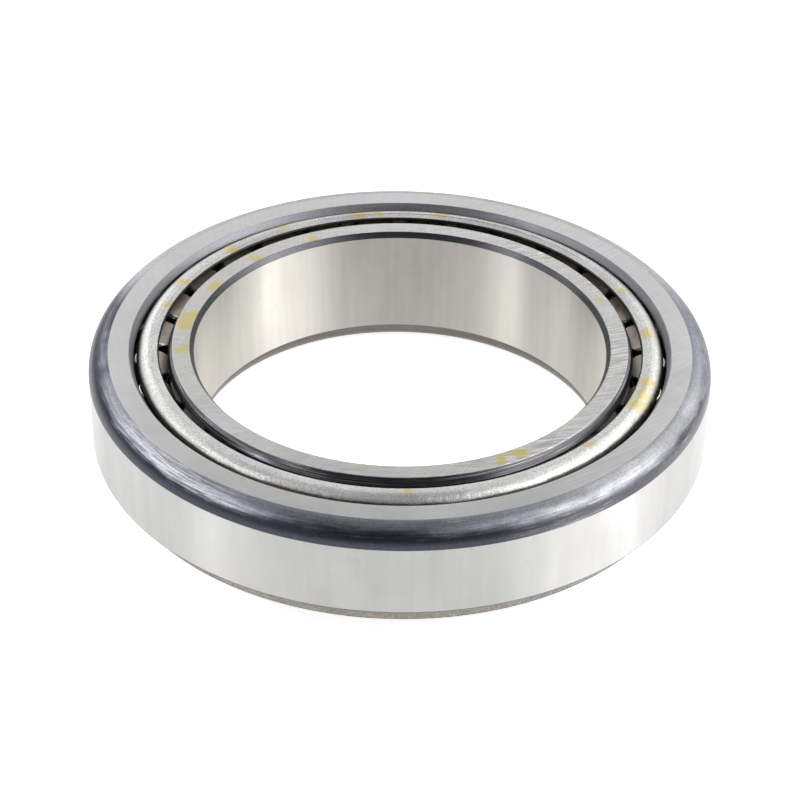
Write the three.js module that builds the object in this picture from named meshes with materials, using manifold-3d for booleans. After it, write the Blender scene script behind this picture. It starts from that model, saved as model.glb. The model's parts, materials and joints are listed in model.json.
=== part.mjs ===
// Single-row tapered roller bearing: cup, cone, pressed-steel cage and a ring of tapered rollers.
// Millimetres. +Z runs along the bearing axis, from the cone back face up to the cup back face.
// The origin is the centre of the cone back face, so every height below is measured from it.
import * as THREE from 'three';
import { mergeVertices } from 'three/addons/utils/BufferGeometryUtils.js';
import Module from 'manifold-3d';

const DEG = Math.PI / 180;

// Boundary sizes.
const BORE_RADIUS = 77.788 / 2;
const OUTER_RADIUS = 117.475 / 2;
const CONE_WIDTH = 25.4;
const CUP_WIDTH = 19.05;
const ASSEMBLED_WIDTH = 25.4;
const CUP_FRONT_Z = ASSEMBLED_WIDTH - CUP_WIDTH;

// Both raceways and every roller axis meet at one apex on the bearing axis.
const APEX_Z = 171.27;
const ROLLER_TILT = 17.2 * DEG;
const ROLLER_TAPER = 1.6 * DEG;
const CUP_RACE_ANGLE = ROLLER_TILT + ROLLER_TAPER;
const CONE_RACE_ANGLE = ROLLER_TILT - ROLLER_TAPER;

// Rollers: end distances are measured from the apex along the roller axis.
const ROLLER_COUNT = 29;
const ROLLER_SMALL_END = 156.26;
const ROLLER_LENGTH = 17;
const ROLLER_MID = ROLLER_SMALL_END + ROLLER_LENGTH / 2;
const ROLLER_CHAMFER = 0.45;
const RUNNING_CLEARANCE = 0.12;
const FIRST_ROLLER_ANGLE = -2.4 * DEG;

// Cup.
const CUP_CORNER = 3.8;
const CUP_FRONT_CHAMFER = 1.6;
const CUP_FACE_INNER_RADIUS = 51;
const CUP_LIP_HEIGHT = 1.5;
const CUP_MOUTH_CHAMFER = 0.25;

// Cone.
const CONE_FACE_OUTER_RADIUS = 43.04;
const CONE_BORE_CHAMFER_WIDTH = 0.74;
const CONE_BORE_CHAMFER_HEIGHT = 1;
const CONE_BACK_FILLET = 3.5;
const SMALL_RIB_RADIUS = 43.9;
const SMALL_RIB_CORNER_HEIGHT = 1.6;
const SMALL_RIB_GAP = 0.3;
const LARGE_RIB_RADIUS = 49;
const LARGE_RIB_CHAMFER = 0.8;
const LARGE_RIB_GAP = 0.08;
const LARGE_RIB_EDGE = 0.3;
const UNDERCUT_DEPTH = 0.4;
const UNDERCUT_WIDTH = 0.9;
// The flat floor of an undercut lies between these two shares of its width from the raceway.
const UNDERCUT_FLOOR_START = 0.4;
const UNDERCUT_FLOOR_END = 0.75;

// Cage: one pressed sheet, a cone parallel to the roller axes with a flange turned in at the top.
const CAGE_THICKNESS = 1;
const CAGE_OFFSET = 3.25;
const CAGE_BOTTOM_Z = 3.9;
const CAGE_TOP_Z = 25.35;
const CAGE_CORNER = 2.7;
const CAGE_FLANGE_RADIUS = 45.45;
const POCKET_CLEARANCE = 0.3;

// Facet counts.
const RING_SEGMENTS = 72;
const CAGE_FACETS_PER_ROLLER = 3;
const CAGE_SEGMENTS = ROLLER_COUNT * CAGE_FACETS_PER_ROLLER;
const ROLLER_SEGMENTS = 18;
const POCKET_SEGMENTS = 24;
const CORNER_STEPS = 4;
const CAGE_INNER_CORNER_STEPS = 2;

// Points closer together than this are one point.
const WELD_DISTANCE = 1e-5;

function steel(color, roughness, metalness) {
  return new THREE.MeshStandardMaterial({ color, roughness, metalness });
}

function named(name, geometry, material) {
  const mesh = new THREE.Mesh(geometry, material);
  mesh.name = name;
  return mesh;
}

// Turns [radius, height] points about Z. The outside of the section runs upwards.
function turned(points, segments) {
  const profile = points.map(([r, z]) => new THREE.Vector2(r, z));
  const geometry = new THREE.LatheGeometry(profile, segments);
  geometry.rotateX(Math.PI / 2);
  return geometry;
}

function turnedRing(points, segments) {
  return turned([...points, points[0]], segments);
}

// Points of an arc in the section plane, both ends included.
function arc(centreR, centreZ, radius, from, to, steps = CORNER_STEPS) {
  const points = [];
  for (let i = 0; i <= steps; i += 1) {
    const angle = from + ((to - from) * i) / steps;
    points.push([centreR + radius * Math.cos(angle), centreZ + radius * Math.sin(angle)]);
  }
  return points;
}

// Radius of a raceway or roller-axis cone at a height.
function coneRadius(angle, z) {
  return (APEX_Z - z) * Math.tan(angle);
}

// Section point at a distance from the apex along the roller axis, then outwards square to it.
function rollerPoint(along, outward) {
  const r = along * Math.sin(ROLLER_TILT) + outward * Math.cos(ROLLER_TILT);
  const z = APEX_Z - along * Math.cos(ROLLER_TILT) + outward * Math.sin(ROLLER_TILT);
  return [r, z];
}

// Height, at a radius, of the plane square to the roller axis at a distance from the apex.
function endPlaneZ(along, radius) {
  const [r, z] = rollerPoint(along, 0);
  return z + (radius - r) * Math.tan(ROLLER_TILT);
}

function rollerRadius(along) {
  return along * Math.tan(ROLLER_TAPER);
}

function cupGeometry() {
  const mouthZ = CUP_FRONT_Z + CUP_MOUTH_CHAMFER;
  const mouthRadius = coneRadius(CUP_RACE_ANGLE, mouthZ);
  const lipZ = ASSEMBLED_WIDTH - CUP_LIP_HEIGHT;
  const cornerR = OUTER_RADIUS - CUP_CORNER;
  const cornerZ = ASSEMBLED_WIDTH - CUP_CORNER;
  return turnedRing([
    [mouthRadius, mouthZ],
    [mouthRadius + CUP_MOUTH_CHAMFER, CUP_FRONT_Z],
    [OUTER_RADIUS - CUP_FRONT_CHAMFER, CUP_FRONT_Z],
    [OUTER_RADIUS, CUP_FRONT_Z + CUP_FRONT_CHAMFER],
    ...arc(cornerR, cornerZ, CUP_CORNER, 0, Math.PI / 2),
    [CUP_FACE_INNER_RADIUS, ASSEMBLED_WIDTH],
    [coneRadius(CUP_RACE_ANGLE, lipZ), lipZ],
  ], RING_SEGMENTS);
}

// Large rib with its chamfers, up to the foot of the shoulder that guides the roller ends.
function largeRibPoints() {
  const shoulder = ROLLER_SMALL_END + ROLLER_LENGTH + LARGE_RIB_GAP;
  const footR = coneRadius(CONE_RACE_ANGLE, endPlaneZ(shoulder, coneRadius(CONE_RACE_ANGLE, 0)));
  const edgeR = LARGE_RIB_RADIUS - LARGE_RIB_EDGE;
  return [
    [BORE_RADIUS + CONE_BACK_FILLET, 0],
    [LARGE_RIB_RADIUS - LARGE_RIB_CHAMFER, 0],
    [LARGE_RIB_RADIUS, LARGE_RIB_CHAMFER],
    [LARGE_RIB_RADIUS, endPlaneZ(shoulder, LARGE_RIB_RADIUS) - LARGE_RIB_EDGE],
    [edgeR, endPlaneZ(shoulder, edgeR)],
    [footR, endPlaneZ(shoulder, footR)],
  ];
}

// Raceway with an undercut at each end, where the grinding wheel runs out beside a rib.
function coneRacePoints() {
  const lowZ = endPlaneZ(ROLLER_SMALL_END + ROLLER_LENGTH, coneRadius(CONE_RACE_ANGLE, 0));
  const highZ = endPlaneZ(ROLLER_SMALL_END, coneRadius(CONE_RACE_ANGLE, CONE_WIDTH));
  const raceLow = lowZ + UNDERCUT_WIDTH;
  const raceHigh = highZ - UNDERCUT_WIDTH / 2;
  const lowR = coneRadius(CONE_RACE_ANGLE, raceLow);
  const highR = coneRadius(CONE_RACE_ANGLE, raceHigh);
  return [
    [lowR - UNDERCUT_DEPTH, raceLow - UNDERCUT_WIDTH * UNDERCUT_FLOOR_END],
    [lowR - UNDERCUT_DEPTH, raceLow - UNDERCUT_WIDTH * UNDERCUT_FLOOR_START],
    [lowR, raceLow],
    [highR, raceHigh],
    [highR - UNDERCUT_DEPTH, raceHigh + UNDERCUT_WIDTH * UNDERCUT_FLOOR_START],
    [highR - UNDERCUT_DEPTH, raceHigh + UNDERCUT_WIDTH * UNDERCUT_FLOOR_END],
  ];
}

function smallRibPoints() {
  const keeper = ROLLER_SMALL_END - SMALL_RIB_GAP;
  const footR = coneRadius(CONE_RACE_ANGLE, CONE_WIDTH) + UNDERCUT_WIDTH;
  return [
    [footR, endPlaneZ(keeper, footR)],
    [SMALL_RIB_RADIUS, endPlaneZ(keeper, SMALL_RIB_RADIUS)],
    [SMALL_RIB_RADIUS, CONE_WIDTH - SMALL_RIB_CORNER_HEIGHT],
    [CONE_FACE_OUTER_RADIUS, CONE_WIDTH],
  ];
}

function boreProfilePoints() {
  const filletR = BORE_RADIUS + CONE_BACK_FILLET;
  const fillet = arc(filletR, CONE_BACK_FILLET, CONE_BACK_FILLET, Math.PI, Math.PI * 1.5);
  return [
    [BORE_RADIUS + CONE_BORE_CHAMFER_WIDTH, CONE_WIDTH],
    [BORE_RADIUS, CONE_WIDTH - CONE_BORE_CHAMFER_HEIGHT],
    ...fillet.slice(0, -1),
  ];
}

function coneGeometry() {
  return turnedRing([
    ...largeRibPoints(),
    ...coneRacePoints(),
    ...smallRibPoints(),
    ...boreProfilePoints(),
  ], RING_SEGMENTS);
}

// Radius of the cage sheet at a height; side is +1 for the outer surface and -1 for the inner one.
function cageRadius(z, side) {
  const offset = CAGE_OFFSET + (side * CAGE_THICKNESS) / 2;
  return coneRadius(ROLLER_TILT, z) + offset / Math.cos(ROLLER_TILT);
}

function cageBlankGeometry() {
  const cornerZ = CAGE_TOP_Z - CAGE_CORNER;
  const cornerR = cageRadius(cornerZ, 1) - CAGE_CORNER / Math.cos(ROLLER_TILT);
  const innerCorner = CAGE_CORNER - CAGE_THICKNESS;
  return turnedRing([
    [cageRadius(CAGE_BOTTOM_Z, 1), CAGE_BOTTOM_Z],
    ...arc(cornerR, cornerZ, CAGE_CORNER, ROLLER_TILT, Math.PI / 2),
    [CAGE_FLANGE_RADIUS, CAGE_TOP_Z],
    [CAGE_FLANGE_RADIUS, CAGE_TOP_Z - CAGE_THICKNESS],
    ...arc(cornerR, cornerZ, innerCorner, Math.PI / 2, ROLLER_TILT, CAGE_INNER_CORNER_STEPS),
    [cageRadius(CAGE_BOTTOM_Z, -1), CAGE_BOTTOM_Z],
  ], CAGE_SEGMENTS);
}

// A tapered roller, or the larger tapered tool of the same shape that cuts its pocket.
// It stands on its own axis with the small end up and its middle at the origin.
function taperedRoller(grow, chamfer, segments) {
  const half = ROLLER_LENGTH / 2 + Math.max(grow, 0);
  const large = rollerRadius(ROLLER_MID + half) + grow;
  const small = rollerRadius(ROLLER_MID - half) + grow;
  const body = [[large, -half], [small, half]];
  const chamfered = [
    [large - chamfer, -half],
    [large, chamfer - half],
    [small, half - chamfer],
    [small - chamfer, half],
  ];
  return turned([[0, -half], ...(chamfer > 0 ? chamfered : body), [0, half]], segments);
}

function rollerAngle(index) {
  return FIRST_ROLLER_ANGLE + (index * Math.PI * 2) / ROLLER_COUNT;
}

// Places an object on the axis of one roller.
function seatOnRollerAxis(object, index) {
  const [r, z] = rollerPoint(ROLLER_MID, 0);
  const angle = rollerAngle(index);
  object.position.set(r * Math.cos(angle), r * Math.sin(angle), z);
  object.rotation.set(0, -ROLLER_TILT, angle, 'ZYX');
}

function toManifold(wasm, geometry) {
  geometry.deleteAttribute('normal');
  geometry.deleteAttribute('uv');
  const merged = mergeVertices(geometry, WELD_DISTANCE);
  return new wasm.Manifold(new wasm.Mesh({
    numProp: 3,
    vertProperties: new Float32Array(merged.attributes.position.array),
    triVerts: new Uint32Array(merged.index.array),
  }));
}

function fromManifold(solid) {
  const mesh = solid.getMesh();
  const geometry = new THREE.BufferGeometry();
  geometry.setAttribute('position', new THREE.BufferAttribute(mesh.vertProperties, 3));
  geometry.setIndex(new THREE.BufferAttribute(mesh.triVerts, 1));
  geometry.computeVertexNormals();
  return geometry;
}

function cageGeometry(wasm) {
  let cage = toManifold(wasm, cageBlankGeometry());
  for (let i = 0; i < ROLLER_COUNT; i += 1) {
    const tool = new THREE.Object3D();
    seatOnRollerAxis(tool, i);
    tool.updateMatrix();
    const cutter = taperedRoller(POCKET_CLEARANCE, 0, POCKET_SEGMENTS);
    cutter.applyMatrix4(tool.matrix);
    cage = cage.subtract(toManifold(wasm, cutter));
  }
  return fromManifold(cage);
}

function rollerSet() {
  const rollers = new THREE.Group();
  rollers.name = 'rollers';
  for (let i = 0; i < ROLLER_COUNT; i += 1) {
    const geometry = taperedRoller(-RUNNING_CLEARANCE, ROLLER_CHAMFER, ROLLER_SEGMENTS);
    const name = `roller_${String(i + 1).padStart(2, '0')}`;
    const roller = named(name, geometry, steel(0x9c968f, 0.22, 1));
    seatOnRollerAxis(roller, i);
    rollers.add(roller);
  }
  return rollers;
}

const wasm = await Module();
wasm.setup();

const bearing = new THREE.Group();
bearing.name = 'tapered_roller_bearing';
bearing.add(named('cup', cupGeometry(), steel(0xb8b8b8, 0.38, 1)));
bearing.add(named('cone', coneGeometry(), steel(0xb4b2ad, 0.36, 1)));
bearing.add(named('cage', cageGeometry(wasm), steel(0xc4c4c1, 0.55, 1)));
bearing.add(rollerSet());

export default bearing;
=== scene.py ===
import bmesh
import bpy
import json
import math
import numpy as np
from mathutils import Matrix, Vector


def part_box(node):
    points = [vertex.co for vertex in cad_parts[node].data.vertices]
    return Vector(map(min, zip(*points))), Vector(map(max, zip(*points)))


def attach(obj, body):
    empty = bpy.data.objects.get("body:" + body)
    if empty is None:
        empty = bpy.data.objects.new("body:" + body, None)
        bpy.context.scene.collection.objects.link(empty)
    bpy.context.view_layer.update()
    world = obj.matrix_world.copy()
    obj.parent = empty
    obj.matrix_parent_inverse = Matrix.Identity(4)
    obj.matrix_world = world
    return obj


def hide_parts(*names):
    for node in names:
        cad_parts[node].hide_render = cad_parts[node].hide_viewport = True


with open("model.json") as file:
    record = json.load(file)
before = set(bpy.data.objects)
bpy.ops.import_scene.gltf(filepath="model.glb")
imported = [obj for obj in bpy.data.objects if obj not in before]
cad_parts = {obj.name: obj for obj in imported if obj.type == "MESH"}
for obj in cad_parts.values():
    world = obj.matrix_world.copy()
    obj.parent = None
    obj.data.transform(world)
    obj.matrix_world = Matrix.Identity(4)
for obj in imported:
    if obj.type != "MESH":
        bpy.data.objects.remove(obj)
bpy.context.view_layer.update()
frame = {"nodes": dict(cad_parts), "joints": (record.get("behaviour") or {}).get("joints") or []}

MM = 0.001

# ---------------------------------------------------------------------------------------------
# Sizes of the bearing, in millimetres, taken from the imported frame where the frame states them.
# ---------------------------------------------------------------------------------------------
CUP_LOW, CUP_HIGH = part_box("cup")
CONE_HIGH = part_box("cone")[1]
CAGE_LOW, CAGE_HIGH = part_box("cage")
JOINTS = {joint["name"]: joint for joint in frame["joints"]}
ROLLERS = sorted(name for name in frame["nodes"] if name.startswith("roller_"))

OUTER_R = CUP_HIGH.x / MM
TOP_Z = CUP_HIGH.z / MM
CUP_FRONT_Z = CUP_LOW.z / MM
LARGE_RIB_R = CONE_HIGH.x / MM
CAGE_BOTTOM_Z = CAGE_LOW.z / MM
CAGE_TOP_Z = CAGE_HIGH.z / MM
BORE_R = 38.894

# Rollers: their axes and both raceways meet at one apex on the bearing axis. A roller's ends are
# placed by their distance from the apex, measured along its axis.
APEX_Z = 171.27
TILT = math.radians(17.2)
TAPER = math.radians(1.6)
ROLLER_SMALL_END = 156.26
ROLLER_LENGTH = 17.0
ROLLER_MID = ROLLER_SMALL_END + ROLLER_LENGTH / 2
RUNNING_CLEARANCE = 0.12
ROLLER_CORNER = 0.62
DIMPLE_R = 1.1
DIMPLE_DEPTH = 0.06
DIMPLE_FLOOR_SHARE = 0.6
DIMPLE_FLOOR_RISE = 0.01

# Cup
CUP_CORNER = 3.8
CUP_FACE_INNER_R = 51.0
CUP_LIP_HEIGHT = 1.5
CUP_CHAMFER = 1.6
CUP_MOUTH_FILLET = 0.35
CUP_FRONT_FILLET = 0.25
CUP_SIDE_FILLET = 0.3
CUP_FACE_BREAK = 0.12
CUP_LIP_FILLET = 0.4

# Cone: bore and front face
CONE_FACE_OUTER_R = 43.04
BORE_BACK_FILLET = 3.5
BORE_CHAMFER_WIDTH = 0.74
BORE_CHAMFER_HEIGHT = 1.0
BORE_TOP_FILLET = 0.15
BORE_CHAMFER_BREAK = 0.12
CONE_FACE_BREAK = 0.1

# Cone: small rib with its turned grooves, and large rib
SMALL_RIB_R = 43.9
RIB_CORNER_HEIGHT = 1.6
RIB_SHOULDER = 0.3
RIB_RISE = 0.56
GROOVE_COUNT = 4
GROOVE_DEPTH = 0.11
GROOVE_FILLET = 0.06
RIB_TOP_FILLET = 0.3
RIB_FILLET = 0.25
LARGE_RIB_CHAMFER = 0.8
LARGE_RIB_TOP_FILLET = 0.35

# Cone: undercuts between raceway and ribs
UNDERCUT_DEPTH = 0.4
UNDERCUT_FLOOR_START = 0.36
UNDERCUT_FLOOR_END = 0.7
UNDERCUT_FILLET = 0.15
UNDERCUT_FLOOR_FILLET = 0.12
LOW_UNDERCUT = 0.9
HIGH_UNDERCUT = 0.45
SHOULDER_CLEARANCE = 0.08
SHOULDER_FOOT_Z = 4.3
SHOULDER_FOOT = 0.1
SHOULDER_FOOT_FILLET = 0.1
KEEPER_CLEARANCE = 0.3
KEEPER_FOOT = 0.9
KEEPER_FOOT_FILLET = 0.08

# Cage
CAGE_THICKNESS = 1.0
CAGE_OFFSET = 3.25
CAGE_CORNER = 2.7
CAGE_FLANGE_R = 45.45
BEAD_END = math.radians(93)
CREASE_R = 46.86
CREASE_STEPS = ((0.06, 0.1), (0.14, 0.12), (0.3, 0.08))
NOSE_R = 0.36
NOSE_DROP = 0.24
NOSE_START = math.radians(80)
SHEARED_WIDTH = 0.3
POCKET_CLEARANCE = 0.3
POCKET_CORNER = 0.9
POCKET_EDGE = 0.12
FOOT_EDGE = 0.15
EDGE_SHARE = 0.3

# Mesh steps
RING_STEPS = 288
FILLET_STEP = math.radians(11)
ROLLER_STEPS = 64
CELL_STEPS = 12
CELL_RUNS = 8
CORNER_STEPS = 3
BEAD_STEPS = 12
NOSE_STEPS = 9
UNDER_STEPS = 6
ROLLER_CORNER_ANGLES = (-90, -68, -45, -22, 0)
WELD_DIGITS = 4

# Looks
QUARTER_TURN = 0.25
STAIN_REACH = 1.5
STAIN_SHIFT = 4.0
STAIN_EDGE_SCALE = 330.0
STAIN_BLOTCH_SCALE = 700.0
NOISE_DETAIL = 3.0
NOISE_LOW, NOISE_HIGH = 0.3, 0.7
TINY = 1e-6
LIGHT_CENTRE_Z = 20.0


def srgb(r, g, b):
    """Linear colour of an sRGB triple from 0 to 255."""
    def one(v):
        v /= 255
        return v / 12.92 if v <= 0.04045 else ((v + 0.055) / 1.055) ** 2.4
    return (one(r), one(g), one(b), 1.0)


# ---------------------------------------------------------------------------------------------
# Node graphs
# ---------------------------------------------------------------------------------------------
class Graph:
    """A material whose nodes are written as nested calls."""

    def __init__(self, name):
        self.material = bpy.data.materials.new(name)
        self.material.use_nodes = True
        self.tree = self.material.node_tree
        self.tree.nodes.clear()
        self.shader = self.tree.nodes.new("ShaderNodeBsdfPrincipled")
        output = self.tree.nodes.new("ShaderNodeOutputMaterial")
        self.link(self.shader.outputs[0], output.inputs[0])
        self.position = self.node("ShaderNodeTexCoord").outputs["Object"]
        self.ux, self.uy, self.radius, self.height = self.ring_coordinates()

    def node(self, kind, **settings):
        made = self.tree.nodes.new(kind)
        for key, value in settings.items():
            setattr(made, key, value)
        return made

    def link(self, source, target):
        self.tree.links.new(source, target)

    def feed(self, socket, value):
        if isinstance(value, bpy.types.NodeSocket):
            self.link(value, socket)
        else:
            socket.default_value = value

    def math(self, operation, *values):
        made = self.node("ShaderNodeMath", operation=operation)
        for socket, value in zip(made.inputs, values):
            self.feed(socket, value)
        return made.outputs[0]

    def add(self, a, b):
        return self.math("ADD", a, b)

    def mul(self, a, b):
        return self.math("MULTIPLY", a, b)

    def length(self, x, y):
        return self.math("SQRT", self.add(self.mul(x, x), self.mul(y, y)))

    def span(self, value, low, high, to_low=0.0, to_high=1.0):
        """Maps low..high to to_low..to_high, smoothly and clamped."""
        made = self.node("ShaderNodeMapRange", interpolation_type="SMOOTHSTEP")
        for name, item in zip(
            ("Value", "From Min", "From Max", "To Min", "To Max"),
            (value, low, high, to_low, to_high),
        ):
            self.feed(made.inputs[name], item)
        return made.outputs[0]

    def swing(self, noise, to_low, to_high):
        """Maps the usual range of a noise to to_low..to_high."""
        return self.span(noise, NOISE_LOW, NOISE_HIGH, to_low, to_high)

    def vector(self, x, y, z):
        made = self.node("ShaderNodeCombineXYZ")
        for socket, value in zip(made.inputs, (x, y, z)):
            self.feed(socket, value)
        return made.outputs[0]

    def noise(self, vector, scale=1.0, detail=NOISE_DETAIL, rough=0.6, w=None):
        """Fractal noise; a fourth coordinate makes it 4D."""
        made = self.node("ShaderNodeTexNoise", noise_dimensions="3D" if w is None else "4D")
        self.feed(made.inputs["Vector"], vector)
        if w is not None:
            self.feed(made.inputs["W"], w)
        made.inputs["Scale"].default_value = scale
        made.inputs["Detail"].default_value = detail
        made.inputs["Roughness"].default_value = rough
        return made.outputs["Fac"]

    def mix(self, factor, a, b):
        """Colour a where the factor is 0 and b where it is 1; sockets 6, 7 and 2 are the colour ones."""
        made = self.node("ShaderNodeMix", data_type="RGBA")
        self.feed(made.inputs[0], factor)
        self.feed(made.inputs[6], a)
        self.feed(made.inputs[7], b)
        return made.outputs[2]

    def shade(self, color, factor):
        """A colour multiplied by a number."""
        made = self.node("ShaderNodeVectorMath", operation="SCALE")
        self.feed(made.inputs[0], color[:3] if isinstance(color, tuple) else color)
        self.feed(made.inputs["Scale"], factor)
        return made.outputs[0]

    def bump(self, height, distance, strength=1.0, normal=None):
        made = self.node("ShaderNodeBump")
        self.feed(made.inputs["Height"], height)
        made.inputs["Distance"].default_value = distance
        made.inputs["Strength"].default_value = strength
        if normal is not None:
            self.link(normal, made.inputs["Normal"])
        return made.outputs[0]

    def ring_coordinates(self):
        """Unit direction around the axis, radius and height, the last two in millimetres."""
        split = self.node("ShaderNodeSeparateXYZ")
        self.link(self.position, split.inputs[0])
        x, y, z = split.outputs
        radius = self.length(x, y)
        safe = self.math("MAXIMUM", radius, TINY)
        ux = self.math("DIVIDE", x, safe)
        uy = self.math("DIVIDE", y, safe)
        return ux, uy, self.mul(radius, 1 / MM), self.mul(z, 1 / MM)

    def finish(self, color, roughness, normal, anisotropic=0.0):
        """Bare metal; an anisotropic one has its lay round the Z axis."""
        self.feed(self.shader.inputs["Base Color"], color)
        self.feed(self.shader.inputs["Roughness"], roughness)
        self.shader.inputs["Metallic"].default_value = 1.0
        self.link(normal, self.shader.inputs["Normal"])
        if anisotropic:
            self.shader.inputs["Anisotropic"].default_value = anisotropic
            self.shader.inputs["Anisotropic Rotation"].default_value = QUARTER_TURN
            tangent = self.node("ShaderNodeTangent", direction_type="RADIAL", axis="Z")
            self.link(tangent.outputs[0], self.shader.inputs["Tangent"])
        return self.material


def ring_vector(g, along, across):
    """Noise coordinates with their own rates along the circle and across it."""
    return g.vector(g.mul(g.ux, along), g.mul(g.uy, along), g.mul(g.height, across))


def facing(g, x, y):
    """Near 1 where the ring faces the direction (x, y), falling to -1 on the far side."""
    return g.add(g.mul(g.ux, x), g.mul(g.uy, y))


def around_lines(g, along, across, detail):
    """Fine lines that run round the axis: slow along the circle, quick across it."""
    return g.noise(ring_vector(g, along, across), detail=detail, w=g.mul(g.radius, across))


def arc_lines(g, centre, spacing, drift=9.0):
    """Fine grinding arcs, a spacing in millimetres apart, about a far point in the plane of a face."""
    split = g.node("ShaderNodeSeparateXYZ")
    g.link(g.position, split.inputs[0])
    dx = g.add(split.outputs[0], -centre[0] * MM)
    dy = g.add(split.outputs[1], -centre[1] * MM)
    distance = g.mul(g.length(dx, dy), 1 / (spacing * MM))
    angle = g.math("ARCTAN2", dy, dx)
    return g.noise(g.vector(distance, g.mul(angle, drift), 0.0), rough=0.7)


def mottle(g, scale, detail=4.0, offset=0.0):
    """Slow uneven tone over a surface; the offset picks another part of the same noise."""
    moved = g.node("ShaderNodeVectorMath", operation="ADD")
    g.link(g.position, moved.inputs[0])
    moved.inputs[1].default_value = (offset, offset * 0.7, -offset)
    return g.noise(moved.outputs[0], scale, detail, rough=0.55)


def oil_mask(g, spots):
    """Ragged soft stain round each (angle in degrees, radius, size), the last two in millimetres.

    A noise of mean one half shifts the outline, so each centre moves by half of the full shift.
    """
    ragged = g.node("ShaderNodeTexNoise")
    ragged.inputs["Scale"].default_value = STAIN_EDGE_SCALE
    ragged.inputs["Detail"].default_value = NOISE_DETAIL
    g.link(g.position, ragged.inputs["Vector"])
    moved = g.node("ShaderNodeVectorMath", operation="MULTIPLY_ADD")
    g.link(ragged.outputs["Color"], moved.inputs[0])
    moved.inputs[1].default_value = (STAIN_SHIFT * MM, STAIN_SHIFT * MM, 0.0)
    g.link(g.position, moved.inputs[2])
    split = g.node("ShaderNodeSeparateXYZ")
    g.link(moved.outputs[0], split.inputs[0])
    total = None
    for angle, radius, size in spots:
        cx = (radius * math.cos(math.radians(angle)) + STAIN_SHIFT / 2) * MM
        cy = (radius * math.sin(math.radians(angle)) + STAIN_SHIFT / 2) * MM
        dx = g.add(split.outputs[0], -cx)
        dy = g.add(split.outputs[1], -cy)
        near = g.span(g.length(dx, dy), 0.0, size * STAIN_REACH * MM, 1.0, 0.0)
        total = near if total is None else g.math("MAXIMUM", total, near)
    blotch = g.noise(g.position, STAIN_BLOTCH_SCALE)
    return g.span(g.add(total, g.swing(blotch, -0.25, 0.15)), 0.0, 1.0)


# ---------------------------------------------------------------------------------------------
# Finishes
# ---------------------------------------------------------------------------------------------
STAIN = srgb(206, 186, 96)
# Painted lit grey of the cup corner's right-front side, low and high on the arc.
LIT_GREY_LOW = srgb(106, 106, 112)
LIT_GREY_HIGH = srgb(158, 158, 162)
THIN_SCALE = srgb(196, 196, 199)
# Rubbed steel for worn streaks, also the painted highlight of the small rib's crest lines.
RUBBED_AND_SHEEN_STEEL = srgb(200, 200, 203)
# Colour of the painted highlight streaks on the cup corner.
PAINTED_HIGHLIGHT_STEEL = srgb(205, 206, 211)
TURNED_STEEL = srgb(92, 91, 95)
# Darker brown-grey of the painted shade on the cage.
SHADED_SHEET = srgb(138, 130, 116)

# Heights, radii and distances from the crease where a finish or a painted shade changes, in millimetres
SCALE_BLUE_Z, SCALE_GREY_Z = TOP_Z - 1.9, TOP_Z - 0.45
SHEET_HIDDEN_Z, SHEET_SHOWN_Z = CAGE_TOP_Z - 3.0, CAGE_TOP_Z - 2.0
SHEET_GAP_START_R, SHEET_GAP_R = 48.95, 49.35
SHEET_FLANK_START_R, SHEET_FLANK_R = 48.3, 49.4
CREASE_DARK, CREASE_CLEAR = 0.05, 0.22


def ground_face(name, centres, stains, tint, lines, scratches):
    """A flat face ground by a cup wheel: crossing arcs, stray scratches and oil stains where it has any.

    The arc centres are in millimetres. The scratches are strongest on the +X side.
    """
    g = Graph(name)
    first = arc_lines(g, centres[0], 0.16)
    second = arc_lines(g, centres[1], 0.22)
    stray = g.span(arc_lines(g, centres[2], 0.42, 26.0), 0.40, 0.66, -0.45, 1.0)
    marks = g.add(g.mul(first, 0.6), g.mul(second, 0.4))
    cloud = mottle(g, 60.0)
    uneven = g.span(mottle(g, 34.0, detail=2.0, offset=0.5), 0.40, 0.62, 0.3, 1.0)
    patch = g.mul(uneven, g.span(g.ux, -0.5, 0.5, 0.3, 1.1))
    factor = g.add(g.swing(marks, 1.0 - lines, 1.0 + lines), g.swing(cloud, -0.05, 0.05))
    factor = g.add(factor, g.mul(g.mul(stray, patch), scratches))
    color = g.shade(tint, factor)
    if stains:
        color = g.mix(g.mul(oil_mask(g, stains), 0.8), color, STAIN)
    rough = g.add(g.swing(marks, 0.27, 0.36), g.swing(cloud, 0.0, 0.05))
    normal = g.bump(g.add(marks, g.mul(stray, 0.6)), 0.005 * MM, 0.7)
    return g.finish(color, rough, normal)


def ground_round(name, tint, rough, band=0.05, lines=0.02):
    """A ground cylinder or raceway: very fine lines round the axis and soft uneven bands."""
    g = Graph(name)
    lay = around_lines(g, 2.5, 9.0, 3.0)
    cloud = g.noise(ring_vector(g, 5.0, 0.05), rough=0.5)
    bars = g.noise(ring_vector(g, 26.0, 0.03), detail=2.0, rough=0.5)
    specks = g.span(g.noise(g.position, 900.0, detail=2.0), 0.70, 0.78)
    factor = g.add(g.swing(lay, 1.0 - lines, 1.0 + lines), g.swing(cloud, -band, band))
    factor = g.add(factor, g.swing(bars, -0.025, 0.025))
    color = g.mix(g.mul(specks, 0.35), g.shade(tint, factor), g.shade(tint, 0.45))
    roughness = g.add(g.swing(lay, rough - 0.02, rough + 0.02), g.swing(cloud, -0.03, 0.03))
    normal = g.bump(lay, 0.0015 * MM, 0.5)
    return g.finish(color, roughness, normal, anisotropic=1.0)


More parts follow.
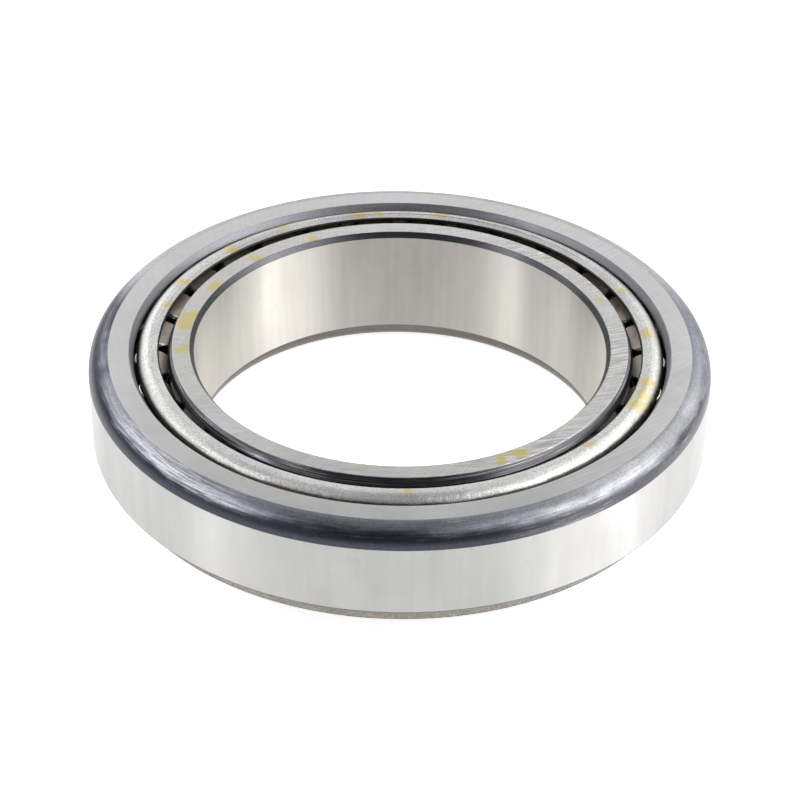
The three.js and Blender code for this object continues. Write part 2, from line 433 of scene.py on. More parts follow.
def heat_dark(name, dark, worn, wear_low=0.55, wear_high=0.72, rough=0.34):
    """Scale left by heat treatment, worn brighter in streaks round the axis."""
    g = Graph(name)
    streak = around_lines(g, 5.0, 2.6, 4.0)
    fine = around_lines(g, 3.0, 8.0, 3.0)
    blotch = g.noise(ring_vector(g, 3.0, 0.12))
    grain = g.noise(g.position, 3200.0, detail=2.0)
    wear_and_sheen = g.span(g.add(g.mul(streak, 0.45), g.mul(blotch, 0.55)), wear_low, wear_high)
    color = g.mix(g.mul(wear_and_sheen, 0.7), g.shade(dark, g.swing(grain, 0.86, 1.16)), worn)
    color = g.shade(color, g.swing(fine, 0.8, 1.2))
    roughness = g.add(g.swing(fine, rough - 0.06, rough + 0.08), g.mul(wear_and_sheen, -0.06))
    normal = g.bump(fine, 0.006 * MM, 0.6, g.bump(grain, 0.01 * MM, 0.5))
    return g.finish(color, roughness, normal, anisotropic=0.35)


def blued_corner(name, low, high):
    """The unground corner of the cup: blue-black next to the outside, grey next to the face.

    The scale is thin on the +Y side and whole at the -X end. In front towards +X the corner is a painted
    lit grey where the right lamps fall on it, and in front towards -X painted highlight streaks lie on
    it.
    """
    g = Graph(name)
    streak = around_lines(g, 9.0, 3.4, 3.0)
    fine = around_lines(g, 3.0, 9.0, 2.0)
    blotch = g.noise(ring_vector(g, 4.0, 0.3))
    grain = g.noise(g.position, 2200.0)
    # Painted light: in front towards +X the corner is turned to a flatter, lighter grey where the right
    # lamps light it.
    right_lit = g.span(facing(g, 0.77, -0.64), 0.82, 0.95)
    thin = g.span(g.uy, 0.2, 0.5)
    whole = g.mul(g.span(g.mul(g.ux, -1.0), 0.88, 1.0), g.span(g.uy, 0.45, 0.2))
    # Painted highlight: bright streaks in front towards -X stand for the left lamps' reflection on the
    # corner.
    left_highlight = g.span(facing(g, -0.73, -0.68), 0.93, 0.995)
    left_highlight = g.mul(left_highlight, g.span(streak, 0.40, 0.58))
    edge = g.add(g.add(g.height, g.mul(whole, -1.3)), g.span(blotch, 0.25, 0.75, -0.6, 0.6))
    edge = g.add(edge, g.swing(streak, -0.25, 0.25))
    climb = g.span(edge, SCALE_BLUE_Z, SCALE_GREY_Z)
    rub = g.mul(g.span(streak, 0.52, 0.66), g.span(blotch, 0.42, 0.62))
    rub = g.mul(rub, g.span(whole, 0.0, 1.0, 1.0, 0.0))
    color = g.mix(climb, low, high)
    lit_grey = g.shade(g.mix(climb, LIT_GREY_LOW, LIT_GREY_HIGH), g.swing(blotch, 0.8, 1.2))
    color = g.mix(g.mul(right_lit, 0.85), color, lit_grey)
    color = g.mix(g.mul(thin, 0.9), color, THIN_SCALE)
    rub = g.mul(rub, g.span(g.math("MAXIMUM", climb, right_lit), 0.0, 1.0, 0.0, 0.5))
    color = g.mix(rub, color, RUBBED_AND_SHEEN_STEEL)
    color = g.mix(g.mul(g.mul(left_highlight, climb), 0.8), color, PAINTED_HIGHLIGHT_STEEL)
    color = g.shade(color, g.add(g.swing(fine, 0.88, 1.1), g.swing(grain, -0.14, 0.14)))
    roughness = g.add(g.swing(fine, 0.30, 0.40), g.mul(climb, 0.08))
    normal = g.bump(fine, 0.006 * MM, 0.6, g.bump(grain, 0.01 * MM, 0.6))
    return g.finish(color, roughness, normal, anisotropic=0.3)


def turned_dark(name):
    """The turned outside of the small rib: dark, with the crests left by the tool painted bright as
    highlight lines.
    """
    g = Graph(name)
    fine = around_lines(g, 2.0, 9.0, 2.0)
    slow = around_lines(g, 4.0, 1.2, 2.0)
    # Painted highlight: bright lines round the rib stand for lamp glints on the turned crests; the
    # grooves themselves are real.
    wear_and_sheen = g.span(g.add(g.mul(fine, 0.6), g.mul(slow, 0.4)), 0.50, 0.66)
    color = g.mix(g.mul(wear_and_sheen, 0.6), TURNED_STEEL, RUBBED_AND_SHEEN_STEEL)
    normal = g.bump(fine, 0.01 * MM, 0.8)
    return g.finish(color, g.swing(fine, 0.2, 0.34), normal, anisotropic=0.4)


def tumbled_sheet(name, stains, tint):
    """Pressed steel sheet, tumbled: a fine even grain, with painted shade darkening all but the crown,
    most in the gaps.
    """
    g = Graph(name)
    grain = g.noise(g.position, 2900.0)
    fine = g.noise(g.position, 7000.0, detail=2.0)
    cloud = mottle(g, 110.0, offset=0.02)
    dents = g.noise(g.position, 800.0, detail=2.0, rough=0.5)
    relief = g.add(g.mul(grain, 0.6), g.mul(fine, 0.4))
    high = g.span(g.height, SHEET_HIDDEN_Z, SHEET_SHOWN_Z)
    # Painted shade: the flank next to the cup lip is darkened, where the gap lies in shade.
    near = g.add(g.radius, g.swing(cloud, -0.1, 0.1))
    gap_shade = g.mul(g.span(near, SHEET_GAP_START_R, SHEET_GAP_R), high)
    # Painted shade: the outer flank, the crease and the body below the flange top are pulled towards a
    # darker brown-grey.
    wide = g.add(g.radius, g.swing(cloud, -0.3, 0.3))
    flank = g.mul(g.span(wide, SHEET_FLANK_START_R, SHEET_FLANK_R), high)
    from_crease = g.math("ABSOLUTE", g.add(g.radius, -CREASE_R))
    crease = g.mul(g.span(from_crease, CREASE_DARK, CREASE_CLEAR, 1.0, 0.0), high)
    shade_amount = g.add(g.mul(flank, 0.7), g.add(g.mul(crease, 0.22), g.span(high, 0.0, 1.0, 1.0, 0.0)))
    pits = g.mul(g.span(relief, 0.53, 0.42), g.span(shade_amount, 0.0, 1.0, 0.18, 0.6))
    factor = g.add(g.span(relief, 0.38, 0.60, 0.86, 1.12), g.swing(cloud, -0.09, 0.08))
    grey = g.shade(SHADED_SHEET, factor)
    color = g.mix(g.span(shade_amount, 0.0, 1.0, 0.0, 0.75), g.shade(tint, factor), grey)
    color = g.mix(pits, color, g.shade(tint, 0.3))
    # Painted shade of the gap by the cup lip.
    color = g.shade(color, g.span(gap_shade, 0.0, 1.0, 1.0, 0.22))
    if stains:
        color = g.mix(g.mul(oil_mask(g, stains), 0.7), color, STAIN)
    roughness = g.add(g.span(relief, 0.40, 0.60, 0.50, 0.36), g.swing(cloud, -0.04, 0.05))
    normal = g.bump(relief, 0.055 * MM, 0.9, g.bump(dents, 0.12 * MM, 0.6))
    return g.finish(color, roughness, normal)


def roller_steel(name, tint, rough):
    """Honed roller steel with fine lines round the roller's own axis."""
    g = Graph(name)
    lines = around_lines(g, 1.6, 8.0, 2.0)
    cloud = g.noise(g.position, 500.0, rough=0.5)
    factor = g.add(g.swing(lines, 0.93, 1.05), g.swing(cloud, -0.06, 0.06))
    roughness = g.add(g.swing(lines, rough - 0.03, rough + 0.05), g.swing(cloud, 0.0, 0.04))
    return g.finish(g.shade(tint, factor), roughness, g.bump(lines, 0.003 * MM, 0.5))


CUP_FACE = ground_face(
    "cup_ground_face", ((150, 60), (-40, 190), (-150, 230)), (), srgb(199, 198, 198), 0.08, 0.09
)
CUP_OD = ground_round("cup_ground_outside", srgb(202, 201, 199), 0.37)
CUP_RACE = ground_round("cup_raceway", srgb(196, 194, 190), 0.22)
CUP_CORNER_SKIN = blued_corner("cup_blued_corner", srgb(69, 70, 80), srgb(141, 143, 152))
CUP_DARK = heat_dark("cup_dark_chamfer", srgb(92, 94, 104), srgb(160, 162, 170))
CUP_LIP = heat_dark("cup_inner_chamfer", srgb(146, 147, 152), srgb(166, 167, 171), 0.5, 0.7, 0.5)
CONE_FACE = ground_face(
    "cone_ground_face", ((-120, 30), (20, -170), (-12, 155)),
    (
        (170, 40.7, 2.6), (174, 40.8, 2.2), (-174, 40.9, 1.9), (153, 40.2, 2.2), (135, 40.2, 2.3),
        (116, 40.4, 1.6), (-59, 41.4, 1.9), (-64, 41.0, 1.6), (22, 41.2, 1.3),
    ),
    srgb(198, 197, 195), 0.16, 0.46,
)
CONE_BACK = ground_face(
    "cone_ground_back_face", ((140, -60), (-60, 150), (-20, -160)), (), srgb(198, 197, 195), 0.09, 0.1
)
CONE_BORE = ground_round("cone_ground_bore", srgb(211, 208, 202), 0.44, 0.04, 0.012)
CONE_RACE = ground_round("cone_raceway", srgb(196, 194, 190), 0.22)
CONE_CHAMFER = heat_dark("cone_bore_chamfer", srgb(86, 87, 91), srgb(150, 149, 152), 0.6, 0.8)
CONE_DARK = heat_dark("cone_dark_corner", srgb(112, 106, 102), srgb(150, 144, 138), 0.6, 0.8)
CONE_RIB = turned_dark("cone_turned_rib")
CONE_TURNED = ground_round("cone_turned_undercut", srgb(150, 148, 146), 0.36)
CAGE_SKIN = tumbled_sheet(
    "cage_tumbled_sheet",
    (
        (137, 46.9, 1.9), (155, 46.9, 1.8), (165, 46.5, 1.7), (121, 47.6, 1.8), (101, 47.3, 2.2),
        (96, 47.4, 1.6), (-15, 47.8, 2.3), (-20, 47.8, 2.4), (-24, 47.6, 2.0), (-43, 46.3, 1.7),
        (24, 47.1, 1.3), (80, 47.4, 1.8), (5, 47.3, 1.4), (-88, 46.8, 1.5),
    ),
    srgb(212, 212, 210),
)
# Painted shade: the sheared edges of flange, pockets and foot get a near-black tint for the shade they
# lie in.
CAGE_SHADED_EDGE = tumbled_sheet("cage_shaded_sheared_edge", (), srgb(58, 57, 57))
ROLLER_SIDE = roller_steel("roller_honed_side", srgb(205, 201, 195), 0.16)
ROLLER_END = roller_steel("roller_ground_end", srgb(178, 169, 158), 0.40)


# ---------------------------------------------------------------------------------------------
# Turned meshes
# ---------------------------------------------------------------------------------------------
def rounded_section(corners):
    """Closed section in the (radius, height) plane with every corner rounded.

    Each corner is (radius, height, fillet radius, finish of the fillet, finish of the run after it).
    Returns the points and, for each point, the finish of the segment that starts there.
    """
    points, finishes = [], []
    count = len(corners)
    for index, (r, z, fillet, arc_finish, run_finish) in enumerate(corners):
        here = Vector((r, z))
        before = Vector(corners[index - 1][:2])
        after = Vector(corners[(index + 1) % count][:2])
        back, ahead = (before - here).normalized(), (after - here).normalized()
        opening = back.angle(ahead)
        reach = fillet / math.tan(opening / 2)
        start, end = here + back * reach, here + ahead * reach
        centre = here + (back + ahead).normalized() * (fillet / math.sin(opening / 2))
        a0 = math.atan2(start.y - centre.y, start.x - centre.x)
        a1 = math.atan2(end.y - centre.y, end.x - centre.x)
        turn = (a1 - a0 + math.pi) % (2 * math.pi) - math.pi
        steps = max(2, math.ceil(abs(turn) / FILLET_STEP))
        for k in range(steps + 1):
            angle = a0 + turn * k / steps
            points.append((centre.x + fillet * math.cos(angle), centre.y + fillet * math.sin(angle)))
            finishes.append(arc_finish if k < steps else run_finish)
    return points, finishes


def smooth_by_area(mesh):
    """Smooth shading with normals weighted by face area, so flat faces stay flat beside fillets."""
    mesh.polygons.foreach_set("use_smooth", [True] * len(mesh.polygons))
    total = np.zeros((len(mesh.vertices), 3))
    for polygon in mesh.polygons:
        weighted = np.array(polygon.normal) * polygon.area
        for vertex in polygon.vertices:
            total[vertex] += weighted
    length = np.linalg.norm(total, axis=1, keepdims=True)
    total /= np.where(length > 0, length, 1)
    mesh.normals_split_custom_set_from_vertices([tuple(n) for n in total])


def add_piece(name, vertices, faces, face_finishes, finishes):
    """An object from points in millimetres; face_finishes holds each face's place in finishes."""
    mesh = bpy.data.meshes.new(name)
    mesh.from_pydata([tuple(c * MM for c in v) for v in vertices], [], faces)
    for material in finishes:
        mesh.materials.append(material)
    mesh.polygons.foreach_set("material_index", face_finishes)
    mesh.update()
    smooth_by_area(mesh)
    piece = bpy.data.objects.new(name, mesh)
    bpy.context.scene.collection.objects.link(piece)
    return piece


def turned_ring(name, corners):
    """A ring turned about Z from a closed rounded section."""
    points, run_finishes = rounded_section(corners)
    finishes = list(dict.fromkeys(run_finishes))
    count = len(points)
    vertices, faces, indices = [], [], []
    for i in range(RING_STEPS):
        angle = 2 * math.pi * i / RING_STEPS
        vertices += [(r * math.cos(angle), r * math.sin(angle), z) for r, z in points]
    for i in range(RING_STEPS):
        j = (i + 1) % RING_STEPS
        for k in range(count):
            m = (k + 1) % count
            faces.append((i * count + k, j * count + k, j * count + m, i * count + m))
            indices.append(finishes.index(run_finishes[k]))
    return add_piece(name, vertices, faces, indices, finishes)


def race_radius(angle, z):
    """Radius, at a height, of a cone about Z whose tip is the apex."""
    return (APEX_Z - z) * math.tan(angle)


def end_plane_z(along, radius):
    """Height, at a radius, of the plane square to the roller axis at a distance from the apex."""
    r = along * math.sin(TILT)
    z = APEX_Z - along * math.cos(TILT)
    return z + (radius - r) * math.tan(TILT)


def make_cup():
    lip_z = TOP_Z - CUP_LIP_HEIGHT
    race = TILT + TAPER
    return turned_ring("cup_ring", [
        (race_radius(race, CUP_FRONT_Z), CUP_FRONT_Z, CUP_MOUTH_FILLET, CUP_DARK, CUP_FACE),
        (OUTER_R - CUP_CHAMFER, CUP_FRONT_Z, CUP_FRONT_FILLET, CUP_DARK, CUP_DARK),
        (OUTER_R, CUP_FRONT_Z + CUP_CHAMFER, CUP_SIDE_FILLET, CUP_DARK, CUP_OD),
        (OUTER_R, TOP_Z, CUP_CORNER, CUP_CORNER_SKIN, CUP_FACE),
        (CUP_FACE_INNER_R, TOP_Z, CUP_FACE_BREAK, CUP_LIP, CUP_LIP),
        (race_radius(race, lip_z), lip_z, CUP_LIP_FILLET, CUP_LIP, CUP_RACE),
    ])


def rib_crests(start, end):
    """Corners of shallow turned grooves along the small rib, from one (radius, height) to another."""
    corners = []
    for i in range(1, 2 * GROOVE_COUNT):
        t = i / (2 * GROOVE_COUNT)
        r = start[0] + (end[0] - start[0]) * t
        z = start[1] + (end[1] - start[1]) * t
        sink = GROOVE_DEPTH if i % 2 else 0.0
        corners.append((r - sink, z, GROOVE_FILLET, CONE_RIB, CONE_RIB))
    return corners


def make_cone():
    race = TILT - TAPER
    shoulder = ROLLER_SMALL_END + ROLLER_LENGTH + SHOULDER_CLEARANCE
    keeper = ROLLER_SMALL_END - KEEPER_CLEARANCE
    low = end_plane_z(ROLLER_SMALL_END + ROLLER_LENGTH, race_radius(race, 0)) + LOW_UNDERCUT
    high = end_plane_z(ROLLER_SMALL_END, race_radius(race, TOP_Z)) - HIGH_UNDERCUT
    foot = race_radius(race, SHOULDER_FOOT_Z) + SHOULDER_FOOT
    deep_low = race_radius(race, low) - UNDERCUT_DEPTH
    deep_high = race_radius(race, high) - UNDERCUT_DEPTH
    keep = race_radius(race, TOP_Z) + KEEPER_FOOT
    rib_top = TOP_Z - RIB_CORNER_HEIGHT
    return turned_ring("cone_ring", [
        (BORE_R, 0.0, BORE_BACK_FILLET, CONE_DARK, CONE_BACK),
        (LARGE_RIB_R - LARGE_RIB_CHAMFER, 0.0, RIB_FILLET, CONE_DARK, CONE_DARK),
        (LARGE_RIB_R, LARGE_RIB_CHAMFER, RIB_FILLET, CONE_DARK, CONE_TURNED),
        (LARGE_RIB_R, end_plane_z(shoulder, LARGE_RIB_R), LARGE_RIB_TOP_FILLET, CONE_TURNED, CONE_RACE),
        (foot, end_plane_z(shoulder, foot), SHOULDER_FOOT_FILLET, CONE_TURNED, CONE_TURNED),
        (deep_low, low - UNDERCUT_DEPTH, UNDERCUT_FILLET, CONE_TURNED, CONE_TURNED),
        (race_radius(race, low), low, UNDERCUT_FILLET, CONE_RACE, CONE_RACE),
        (race_radius(race, high), high, UNDERCUT_FILLET, CONE_TURNED, CONE_TURNED),
        (deep_high, high + UNDERCUT_FLOOR_START, UNDERCUT_FLOOR_FILLET, CONE_TURNED, CONE_TURNED),
        (deep_high, high + UNDERCUT_FLOOR_END, UNDERCUT_FLOOR_FILLET, CONE_TURNED, CONE_TURNED),
        (keep, end_plane_z(keeper, keep), KEEPER_FOOT_FILLET, CONE_TURNED, CONE_TURNED),
        (SMALL_RIB_R, end_plane_z(keeper, SMALL_RIB_R), RIB_FILLET, CONE_RIB, CONE_RIB),
        (SMALL_RIB_R, rib_top, RIB_TOP_FILLET, CONE_RIB, CONE_RIB),
        *rib_crests((SMALL_RIB_R - RIB_SHOULDER, rib_top + RIB_RISE), (CONE_FACE_OUTER_R, TOP_Z)),
        (CONE_FACE_OUTER_R, TOP_Z, CONE_FACE_BREAK, CONE_FACE, CONE_FACE),
        (BORE_R + BORE_CHAMFER_WIDTH, TOP_Z, BORE_CHAMFER_BREAK, CONE_CHAMFER, CONE_CHAMFER),
        (BORE_R, TOP_Z - BORE_CHAMFER_HEIGHT, BORE_TOP_FILLET, CONE_CHAMFER, CONE_BORE),
    ])


# ---------------------------------------------------------------------------------------------
# Cage
# ---------------------------------------------------------------------------------------------
def sheet_point(along, outward, angle):
    """Point on a cone parallel to the roller axes, at a distance outwards from them."""
    r = along * math.sin(TILT) + outward * math.cos(TILT)
    z = APEX_Z - along * math.cos(TILT) + outward * math.sin(TILT)
    return (r * math.cos(angle), r * math.sin(angle), z)


def along_at_height(outward, z):
    """Distance from the apex at which the sheet_point surface reaches a height."""
    return (APEX_Z + outward * math.sin(TILT) - z) / math.cos(TILT)


def pocket_half_width(along, outward):
    """Half the width that a roller with its clearance takes from the sheet at that surface."""
    radius = along * math.tan(TAPER) + POCKET_CLEARANCE
    return math.sqrt(radius * radius - outward * outward)


def boundary_steps():
    """The outline of one cell as (u, v) start and end of each side and the step along it."""
    sides = (
        ((-1, -1), (1, -1), CELL_STEPS),
        ((1, -1), (1, 1), CELL_RUNS),
        ((1, 1), (-1, 1), CELL_STEPS),
        ((-1, 1), (-1, -1), CELL_RUNS),
    )
    return [(start, end, k, steps) for start, end, steps in sides for k in range(steps)]


def rounded_step(k, steps, length):
    """Distance along a pocket side and inset from it; each side ends half-way round its corners."""
    from_end = min(k, steps - k)
    if from_end < CORNER_STEPS:
        angle = math.radians(45 + 45 * from_end / CORNER_STEPS)
        distance = POCKET_CORNER * (1 - math.cos(angle))
        inset = POCKET_CORNER * (1 - math.sin(angle))
    else:
        straight = (from_end - CORNER_STEPS) / (steps - 2 * CORNER_STEPS)
        distance = POCKET_CORNER + (length - 2 * POCKET_CORNER) * straight
        inset = 0.0
    return (distance if k == from_end else length - distance), inset


def pocket_loop(centre, outward, grow, low, high):
    """Rounded outline of a pocket on one surface of the sheet, in the order of boundary_steps."""
    points = []
    middle, half = (low + high) / 2, (high - low) / 2 + grow
    for (u0, v0), (_, v1), k, steps in boundary_steps():
        if v0 == v1:
            reach = pocket_half_width(middle + v0 * half, outward) + grow
            distance, inset = rounded_step(k, steps, 2 * reach)
            along = middle + v0 * (half - inset)
            width = pocket_half_width(along, outward) + grow
            offset = u0 * (1 - distance / reach) * width
        else:
            distance, inset = rounded_step(k, steps, 2 * half)
            along = middle + v0 * (half - distance)
            offset = u0 * (pocket_half_width(along, outward) + grow - inset)
        r = sheet_point(along, outward, 0.0)[0]
        points.append(sheet_point(along, outward, centre + math.asin(offset / r)))
    return points


def cell_loop(centre, pitch, outward, top, bottom):
    """Outline of one cell of the sheet, in the order of boundary_steps."""
    points = []
    for (u0, v0), (u1, v1), k, steps in boundary_steps():
        u = u0 + (u1 - u0) * k / steps
        v = v0 + (v1 - v0) * k / steps
        along = (top + bottom) / 2 + v * (bottom - top) / 2
        points.append(sheet_point(along, outward, centre + u * pitch / 2))
    return points


def arc_points(centre_r, centre_z, radius, start, end, steps):
    """Points of an arc in the (radius, height) plane; angles in radians."""
    angles = [start + (end - start) * k / steps for k in range(steps + 1)]
    return [(centre_r + radius * math.cos(a), centre_z + radius * math.sin(a)) for a in angles]


def flange_section():
    """Open section over the small end: rolled bead, crease, nose of the lip and the underside."""
    outer = CAGE_OFFSET + CAGE_THICKNESS / 2
    centre_z = CAGE_TOP_Z - CAGE_CORNER
    centre_r = (APEX_Z - centre_z) * math.tan(TILT) + (outer - CAGE_CORNER) / math.cos(TILT)
    bead = arc_points(centre_r, centre_z, CAGE_CORNER, TILT, BEAD_END, BEAD_STEPS)
    crease_r, crease_z = bead[-1]
    crease = [(crease_r - dr, crease_z - dz) for dr, dz in CREASE_STEPS]
    nose_r, nose_z = CAGE_FLANGE_R + NOSE_R, CAGE_TOP_Z - NOSE_DROP - NOSE_R
    nose = arc_points(nose_r, nose_z, NOSE_R, NOSE_START, 3 * math.pi / 2, NOSE_STEPS)
    under = arc_points(centre_r, centre_z, CAGE_CORNER - CAGE_THICKNESS, math.pi / 2, TILT, UNDER_STEPS)
    return bead + crease + nose + under


def foot_section(outer, inner):
    """Open section round the sheet's large-end edge, from the inner surface to the outer one."""
    r_out = sheet_point(along_at_height(outer, CAGE_BOTTOM_Z), outer, 0)[0]
    r_in = sheet_point(along_at_height(inner, CAGE_BOTTOM_Z), inner, 0)[0]
    break_r, break_z = FOOT_EDGE * EDGE_SHARE, CAGE_BOTTOM_Z + FOOT_EDGE * EDGE_SHARE
    return [
        (r_in - FOOT_EDGE * math.tan(TILT), CAGE_BOTTOM_Z + FOOT_EDGE),
        (r_in + break_r, break_z),
        (r_in + FOOT_EDGE, CAGE_BOTTOM_Z),
        (r_out - FOOT_EDGE, CAGE_BOTTOM_Z),
        (r_out - break_r, break_z),
        (r_out - FOOT_EDGE * math.tan(TILT), CAGE_BOTTOM_Z + FOOT_EDGE),
    ]


class Sheet:
    """Collects quads by corner points; equal points become one vertex."""

    def __init__(self):
        self.vertices, self.lookup, self.faces, self.finish = [], {}, [], []

    def vertex(self, point):
        key = tuple(round(c, WELD_DIGITS) for c in point)
        if key not in self.lookup:
            self.lookup[key] = len(self.vertices)
            self.vertices.append(point)
        return self.lookup[key]

    def band(self, first, second, finish):
        """Quads between two closed loops of points; where two corners meet, a triangle."""
        count = len(first)
        for k in range(count):
            m = (k + 1) % count
            corners = [self.vertex(p) for p in (first[k], first[m], second[m], second[k])]
            different = tuple(dict.fromkeys(corners))
            if len(different) > 2:
                self.faces.append(different)
                self.finish.append(finish)


def ring_points(angles, r, z):
    return [(r * math.cos(a), r * math.sin(a), z) for a in angles]


def make_cage():
    """The basket: one cell of sheet round each roller's pocket, a flange above and a foot below."""
    skin, sheared = 0, 1
    count = len(ROLLERS)
    pitch = 2 * math.pi / count
    first = JOINTS[ROLLERS[0] + "_spin"]["pos_m"]
    start = math.atan2(first[1], first[0])
    outer, inner = CAGE_OFFSET + CAGE_THICKNESS / 2, CAGE_OFFSET - CAGE_THICKNESS / 2
    pocket_low = ROLLER_SMALL_END - POCKET_CLEARANCE
    pocket_high = ROLLER_SMALL_END + ROLLER_LENGTH + POCKET_CLEARANCE
    flange = flange_section()
    foot = foot_section(outer, inner)
    top_outer, top_inner = along_at_height(outer, flange[0][1]), along_at_height(inner, flange[-1][1])
    low_outer, low_inner = along_at_height(outer, foot[-1][1]), along_at_height(inner, foot[0][1])
    sheet = Sheet()
    broken = POCKET_EDGE * EDGE_SHARE
    for index in range(count):
        centre = start + index * pitch
        frame_out = cell_loop(centre, pitch, outer, top_outer, low_outer)
        frame_in = cell_loop(centre, pitch, inner, top_inner, low_inner)
        loops = [
            (outer, POCKET_EDGE), (outer - broken, broken), (outer - POCKET_EDGE, 0.0),
            (inner + POCKET_EDGE, 0.0), (inner + broken, broken), (inner, POCKET_EDGE),
        ]
        outlines = [pocket_loop(centre, depth, grow, pocket_low, pocket_high) for depth, grow in loops]
        sheet.band(frame_out, outlines[0], skin)
        for upper, lower in zip(outlines, outlines[1:]):
            sheet.band(upper, lower, sheared)
        sheet.band(outlines[-1], frame_in, skin)
    angles = [start - pitch / 2 + pitch * k / CELL_STEPS for k in range(count * CELL_STEPS)]
    for (r0, z0), (r1, z1) in zip(flange, flange[1:]):
        on_edge = max(r0, r1) < CAGE_FLANGE_R + SHEARED_WIDTH
        sheet.band(ring_points(angles, r0, z0), ring_points(angles, r1, z1), sheared if on_edge else skin)
    for (r0, z0), (r1, z1) in zip(foot, foot[1:]):
        sheet.band(ring_points(angles, r0, z0), ring_points(angles, r1, z1), sheared)
    piece = add_piece("cage_basket", sheet.vertices, sheet.faces, sheet.finish, [CAGE_SKIN, CAGE_SHADED_EDGE])
    mesh = bmesh.new()
    mesh.from_mesh(piece.data)
    bmesh.ops.recalc_face_normals(mesh, faces=mesh.faces)
    mesh.to_mesh(piece.data)
    mesh.free()
    smooth_by_area(piece.data)
    return piece


# ---------------------------------------------------------------------------------------------
# Rollers
# ---------------------------------------------------------------------------------------------
def roller_mesh():
    """One roller about its own axis, small end up, its middle at the origin."""
    half = ROLLER_LENGTH / 2
    large = (ROLLER_MID + half) * math.tan(TAPER) - RUNNING_CLEARANCE
    small = (ROLLER_MID - half) * math.tan(TAPER) - RUNNING_CLEARANCE
    side_skin, end_skin = 0, 1
    floor = half - DIMPLE_DEPTH
    wall_r, wall_z = DIMPLE_R * DIMPLE_FLOOR_SHARE, floor + DIMPLE_FLOOR_RISE
    points = [(0.0, -floor), (wall_r, -wall_z), (DIMPLE_R, -half)]
    finish = [end_skin] * len(points)
    for radius, side in ((large, -1), (small, 1)):
        arc = [math.radians(a) for a in ROLLER_CORNER_ANGLES]
        if side > 0:
            arc = [-a for a in reversed(arc)]
        for k, angle in enumerate(arc):
            r = radius - ROLLER_CORNER + ROLLER_CORNER * math.cos(angle)
            z = side * (half - ROLLER_CORNER) + ROLLER_CORNER * math.sin(angle)
            points.append((r, z))
            finish.append(end_skin if side > 0 and k == len(arc) - 1 else side_skin)
    points += [(DIMPLE_R, half), (wall_r, wall_z), (0.0, floor)]
    finish += [end_skin] * 3
    vertices, faces, indices = [], [], []
    inner = points[1:-1]
    count = len(inner)
    for i in range(ROLLER_STEPS):
        angle = 2 * math.pi * i / ROLLER_STEPS
        vertices += [(r * math.cos(angle), r * math.sin(angle), z) for r, z in inner]
    bottom, top = len(vertices), len(vertices) + 1
    vertices += [(0.0, 0.0, points[0][1]), (0.0, 0.0, points[-1][1])]
    for i in range(ROLLER_STEPS):
        j = (i + 1) % ROLLER_STEPS
        faces.append((bottom, j * count, i * count))
        indices.append(end_skin)
        for k in range(count - 1):
            faces.append((i * count + k, j * count + k, j * count + k + 1, i * count + k + 1))
            indices.append(finish[k + 1])
        faces.append((top, i * count + count - 1, j * count + count - 1))
        indices.append(end_skin)
    mesh = bpy.data.meshes.new("tapered_roller")
    mesh.from_pydata([tuple(c * MM for c in v) for v in vertices], [], faces)
    mesh.materials.append(ROLLER_SIDE)
    mesh.materials.append(ROLLER_END)
    mesh.polygons.foreach_set("material_index", indices)
    mesh.update()
    smooth_by_area(mesh)
    return mesh


def make_rollers():
    shared = roller_mesh()
    made = {}
    for name in ROLLERS:
        joint = JOINTS[name + "_spin"]
        piece = bpy.data.objects.new(name.replace("roller", "rolling_element"), shared)
        bpy.context.scene.collection.objects.link(piece)
        axis = Vector(joint["axis"])
        angle = math.atan2(joint["pos_m"][1], joint["pos_m"][0])
        across = Vector((-math.sin(angle), math.cos(angle), 0.0))
        out = across.cross(axis)
        turn = Matrix((out, across, axis)).transposed().to_4x4()
        piece.matrix_world = Matrix.Translation(joint["pos_m"]) @ turn
        made[name] = piece
    return made


# ---------------------------------------------------------------------------------------------
# Studio
# ---------------------------------------------------------------------------------------------
def make_floor():
    """A pale sheet that glows near the bearing, so that it reads white round the whole object."""
    mesh = bpy.data.meshes.new("floor")
    size, drop = 3.0, 0.05 * MM
    corners = [(-size, -size, 0), (size, -size, 0), (size, size, 0), (-size, size, 0)]
    mesh.from_pydata(corners, [], [(0, 1, 2, 3)])
    floor = bpy.data.objects.new("floor", mesh)
    bpy.context.scene.collection.objects.link(floor)
    floor.location.z = -drop
    material = bpy.data.materials.new("pale_floor")
    material.use_nodes = True
    tree = material.node_tree
    shader = tree.nodes["Principled BSDF"]
    shader.inputs["Base Color"].default_value = (0.75, 0.75, 0.75, 1)
    shader.inputs["Roughness"].default_value = 0.85
    shader.inputs["Specular IOR Level"].default_value = 0.05
    shader.inputs["Emission Color"].default_value = (1, 1, 1, 1)
    where = tree.nodes.new("ShaderNodeTexCoord")
    far = tree.nodes.new("ShaderNodeVectorMath")
    far.operation = "LENGTH"
    glow = tree.nodes.new("ShaderNodeMapRange")
    glow.interpolation_type = "SMOOTHSTEP"
    tree.links.new(where.outputs["Object"], far.inputs[0])
    tree.links.new(far.outputs["Value"], glow.inputs["Value"])
    for name, value in (("From Min", 0.14), ("From Max", 0.5), ("To Min", 0.82), ("To Max", 0.25)):
        glow.inputs[name].default_value = value
    tree.links.new(glow.outputs[0], shader.inputs["Emission Strength"])
    mesh.materials.append(material)


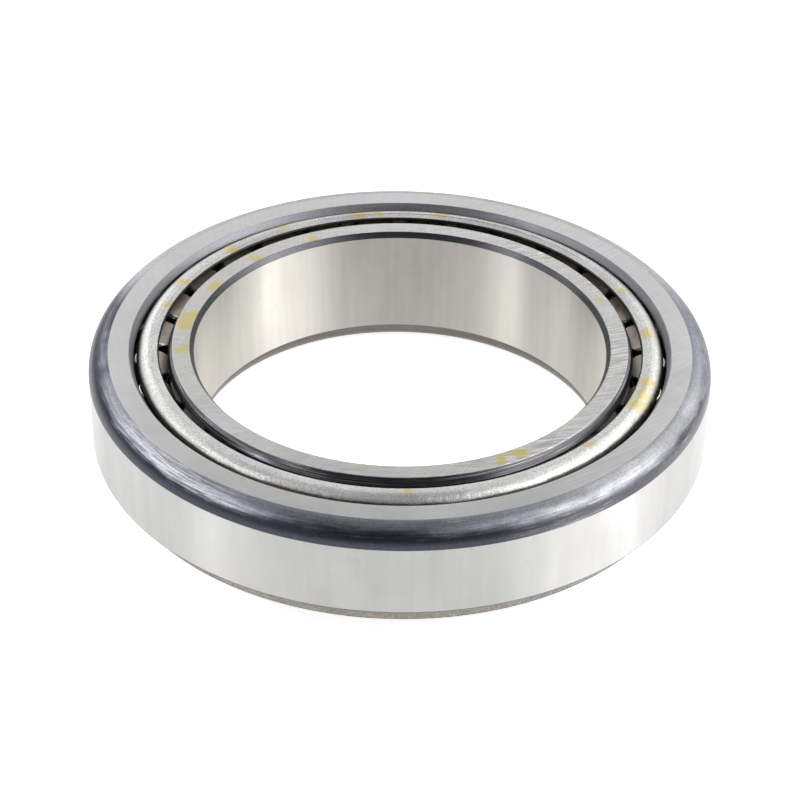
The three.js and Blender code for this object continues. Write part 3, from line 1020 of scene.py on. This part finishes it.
def softbox(name, azimuth, elevation, distance, half_width, half_height, radiance):
    """A rectangular light aimed at the bearing: angles in degrees from its centre, distance in metres."""
    a, e = math.radians(azimuth), math.radians(elevation)
    way = Vector((math.cos(e) * math.cos(a), math.cos(e) * math.sin(a), math.sin(e)))
    data = bpy.data.lights.new(name, "AREA")
    data.shape = "RECTANGLE"
    data.size = 2 * distance * math.tan(math.radians(half_width))
    data.size_y = 2 * distance * math.tan(math.radians(half_height))
    data.energy = radiance * math.pi * data.size * data.size_y
    light = bpy.data.objects.new(name, data)
    light.location = way * distance + Vector((0, 0, LIGHT_CENTRE_Z * MM))
    light.rotation_mode = "QUATERNION"
    light.rotation_quaternion = (-way).to_track_quat("-Z", "Y")
    bpy.context.scene.collection.objects.link(light)


def make_studio():
    world = bpy.data.worlds.new("studio")
    bpy.context.scene.world = world
    world.use_nodes = True
    background = world.node_tree.nodes["Background"]
    background.inputs["Color"].default_value = (0.93, 0.96, 1.0, 1)
    background.inputs["Strength"].default_value = 0.17
    softbox("back_softbox", 92, 25, 1.1, 52, 15, 1.0)
    softbox("high_right_softbox", 54, 50, 0.9, 12, 9, 2.0)
    softbox("high_left_softbox", 124, 47, 0.9, 11, 7, 1.2)
    softbox("right_softbox", -14, 33, 0.8, 27, 20, 2.0)
    softbox("right_back_softbox", 36, 33, 0.85, 20, 16, 1.3)
    softbox("right_edge_strip", -37, 36, 0.75, 3, 26, 1.6)
    softbox("right_wide_strip", -12, 38, 0.72, 8, 30, 1.9)
    softbox("right_strip", -10, 38, 0.7, 2.4, 32, 4.9)
    softbox("left_softbox", 164, 38, 0.8, 17, 12, 0.8)
    softbox("left_fill", 176, 35, 0.85, 56, 11, 0.55)
    softbox("left_strip", -156, 37, 0.75, 1.8, 23, 12.0)
    softbox("left_thin_strip", 166, 34, 0.75, 2.2, 22, 4.0)
    softbox("back_left_strip", 119, 26, 0.95, 4, 14, 2.6)


def make_camera():
    """Looks down at the middle of the top face from the front, a little low and a little turned."""
    elevation, pitch, roll = math.radians(33.735), math.radians(1.379), math.radians(0.85)
    distance, lens, sensor, shift = 0.46445, 110.70, 36, 0.00079
    top = Vector((0, 0, CUP_HIGH.z))
    slope = elevation + pitch
    forward = Vector((0, math.cos(slope), -math.sin(slope)))
    up = Vector((0, math.sin(slope), math.cos(slope)))
    right = Vector((1, 0, 0))
    across = right * math.cos(roll) + up * math.sin(roll)
    upward = up * math.cos(roll) - right * math.sin(roll)
    data = bpy.data.cameras.new("camera")
    data.lens, data.sensor_width, data.shift_x = lens, sensor, shift
    data.clip_start, data.clip_end = 0.01, 20
    camera = bpy.data.objects.new("camera", data)
    bpy.context.scene.collection.objects.link(camera)
    place = top + Vector((0, -math.cos(elevation), math.sin(elevation))) * distance
    turn = Matrix((across, upward, -forward)).transposed().to_4x4()
    camera.matrix_world = Matrix.Translation(place) @ turn
    bpy.context.scene.camera = camera


make_camera()
make_studio()
make_floor()

for piece, node in ((make_cup(), "cup"), (make_cone(), "cone"), (make_cage(), "cage")):
    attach(piece, node)
    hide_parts(node)
for node, piece in make_rollers().items():
    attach(piece, node)
    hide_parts(node)

bpy.context.scene.view_settings.view_transform = "Standard"
